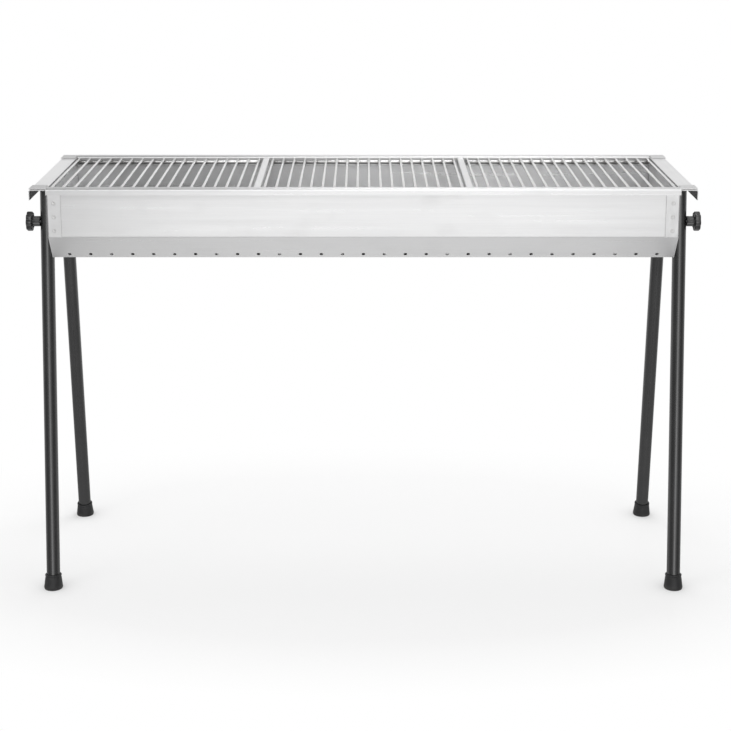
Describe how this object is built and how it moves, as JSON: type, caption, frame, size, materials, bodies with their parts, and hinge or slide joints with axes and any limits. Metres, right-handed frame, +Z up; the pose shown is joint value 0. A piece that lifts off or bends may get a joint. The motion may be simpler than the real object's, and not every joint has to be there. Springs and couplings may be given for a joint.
{
  "type": "charcoal grill",
  "caption": "Long folded-steel trough grill with lift-out rod grates, slotted charcoal trays and splayed tube legs clamped by hand knobs.",
  "frame": {"origin": "on the floor under the middle of the grill", "axes": "+Z up, +X along the trough to the right seen from the front, +Y from front to rear"},
  "size_m": [1.2444, 0.4044, 0.765],
  "materials": {
    "brushed_stainless": "lengthwise brushed stainless sheet",
    "polished_rod": "bright drawn stainless rod",
    "tray_steel": "plain rolled stainless sheet",
    "zinc_plate": "zinc plated steel",
    "powder_coat": "charcoal grey fine-texture powder coat",
    "black_rubber": "matt moulded rubber",
    "black_plastic": "satin moulded plastic"
  },
  "bodies": {
    "trough": {"trough_shell": "brushed_stainless", "end_plate_left": "brushed_stainless", "end_plate_right": "brushed_stainless", "ledge_front": "brushed_stainless", "ledge_rear": "brushed_stainless", "cross_bar_left": "brushed_stainless", "cross_bar_right": "brushed_stainless", "weld_nut_front_left": "zinc_plate", "weld_nut_front_right": "zinc_plate", "weld_nut_rear_left": "zinc_plate", "weld_nut_rear_right": "zinc_plate"},
    "grate_left": {"cooking_grate_left": "polished_rod"},
    "grate_middle": {"cooking_grate_middle": "polished_rod"},
    "grate_right": {"cooking_grate_right": "polished_rod"},
    "tray_left": {"charcoal_tray_left": "tray_steel"},
    "tray_middle": {"charcoal_tray_middle": "tray_steel"},
    "tray_right": {"charcoal_tray_right": "tray_steel"},
    "leg_fl": {"leg_front_left": "powder_coat", "foot_front_left": "black_rubber"},
    "leg_fr": {"leg_front_right": "powder_coat", "foot_front_right": "black_rubber"},
    "leg_rl": {"leg_rear_left": "powder_coat", "foot_rear_left": "black_rubber"},
    "leg_rr": {"leg_rear_right": "powder_coat", "foot_rear_right": "black_rubber"},
    "knob_fl": {"knob_front_left": "black_plastic", "knob_bolt_front_left": "zinc_plate"},
    "knob_fr": {"knob_front_right": "black_plastic", "knob_bolt_front_right": "zinc_plate"},
    "knob_rl": {"knob_rear_left": "black_plastic", "knob_bolt_rear_left": "zinc_plate"},
    "knob_rr": {"knob_rear_right": "black_plastic", "knob_bolt_rear_right": "zinc_plate"}
  },
  "joints": [
    {"name": "grate_left_lift", "type": "slide", "parent": "trough", "child": "grate_left", "axis": [0, 0, 1], "range_m": [0, 0.25]},
    {"name": "grate_middle_lift", "type": "slide", "parent": "trough", "child": "grate_middle", "axis": [0, 0, 1], "range_m": [0, 0.25]},
    {"name": "grate_right_lift", "type": "slide", "parent": "trough", "child": "grate_right", "axis": [0, 0, 1], "range_m": [0, 0.25]},
    {"name": "tray_left_lift", "type": "slide", "parent": "trough", "child": "tray_left", "axis": [0, 0, 1], "range_m": [0, 0.08]},
    {"name": "tray_middle_lift", "type": "slide", "parent": "trough", "child": "tray_middle", "axis": [0, 0, 1], "range_m": [0, 0.08]},
    {"name": "tray_right_lift", "type": "slide", "parent": "trough", "child": "tray_right", "axis": [0, 0, 1], "range_m": [0, 0.08]},
    {"name": "leg_fl_swing", "type": "hinge", "parent": "trough", "child": "leg_fl", "pos_m": [-0.5843, -0.1005, 0.6885], "axis": [1, 0, 0], "range_deg": [-83, 13]},
    {"name": "leg_fr_swing", "type": "hinge", "parent": "trough", "child": "leg_fr", "pos_m": [0.5843, -0.1005, 0.6885], "axis": [1, 0, 0], "range_deg": [-83, 13]},
    {"name": "leg_rl_swing", "type": "hinge", "parent": "trough", "child": "leg_rl", "pos_m": [-0.5843, 0.1005, 0.6885], "axis": [1, 0, 0], "range_deg": [-13, 83]},
    {"name": "leg_rr_swing", "type": "hinge", "parent": "trough", "child": "leg_rr", "pos_m": [0.5843, 0.1005, 0.6885], "axis": [1, 0, 0], "range_deg": [-13, 83]},
    {"name": "knob_fl_turn", "type": "hinge", "parent": "trough", "child": "knob_fl", "pos_m": [-0.6, -0.1005, 0.6885], "axis": [-1, 0, 0], "continuous": true},
    {"name": "knob_fr_turn", "type": "hinge", "parent": "trough", "child": "knob_fr", "pos_m": [0.6, -0.1005, 0.6885], "axis": [1, 0, 0], "continuous": true},
    {"name": "knob_rl_turn", "type": "hinge", "parent": "trough", "child": "knob_rl", "pos_m": [-0.6, 0.1005, 0.6885], "axis": [-1, 0, 0], "continuous": true},
    {"name": "knob_rr_turn", "type": "hinge", "parent": "trough", "child": "knob_rr", "pos_m": [0.6, 0.1005, 0.6885], "axis": [1, 0, 0], "continuous": true}
  ]
}
